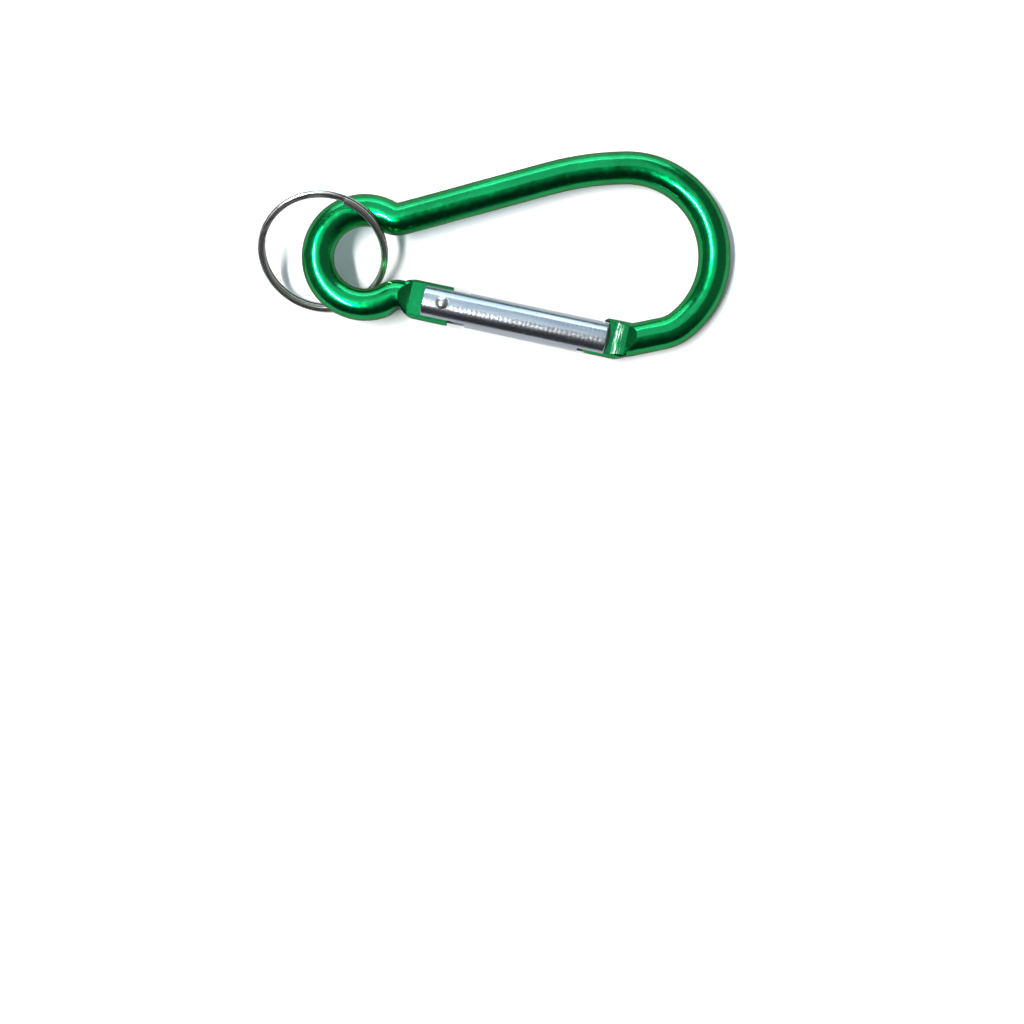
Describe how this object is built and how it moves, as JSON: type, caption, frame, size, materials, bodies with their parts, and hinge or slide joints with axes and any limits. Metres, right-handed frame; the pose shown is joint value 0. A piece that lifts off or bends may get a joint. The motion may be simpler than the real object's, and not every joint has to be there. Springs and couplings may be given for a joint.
{
  "type": "carabiner keyring",
  "caption": "Pear-shaped snap hook of bent round rod with a spring gate that opens inward and a split ring through its small keeper loop.",
  "frame": {"origin": "centre of the large clip loop's round bend, on the rod's mid plane", "axes": "+X from the small keeper loop towards the clip loop, +Y across the hook away from the gate, +Z square to the hook's flat plane"},
  "size_m": [0.0881, 0.0387, 0.0148],
  "materials": {
    "anodised_rod": "glossy green anodising",
    "gate_bar": "satin, lightly brushed along its length",
    "rivet_metal": "satin, peened",
    "pin_steel": "turned steel",
    "spring_wire": "drawn wire",
    "ring_steel": "tempered spring steel, nickel plated, slightly worn"
  },
  "bodies": {
    "frame": {"frame_rod": "anodised_rod"},
    "gate": {"gate": "gate_bar", "hinge_rivet": "rivet_metal", "spring": "spring_wire"},
    "plunger": {"plunger": "pin_steel"},
    "ring": {"split_ring": "ring_steel"}
  },
  "joints": [
    {"name": "gate_hinge", "type": "hinge", "parent": "frame", "child": "gate", "pos_m": [-0.03423, -0.00924, 0], "axis": [0, 0, 1], "range_deg": [0, 40], "stiffness_Nm_per_rad": 0.06, "springref_deg": -28.65},
    {"name": "plunger_slide", "type": "slide", "parent": "gate", "child": "plunger", "axis": [0.9781, -0.2079, 0], "range_m": [0, 0.0021], "deforming": ["spring"]},
    {"name": "ring_swing", "type": "hinge", "parent": "frame", "child": "ring", "pos_m": [-0.05657, 0.00065, -0.0004], "axis": [1, 0, 0], "range_deg": [0, 108]}
  ],
  "couplings": [
    {"joint": "plunger_slide", "follows": "gate_hinge", "m_per_rad": 0.0029}
  ]
}
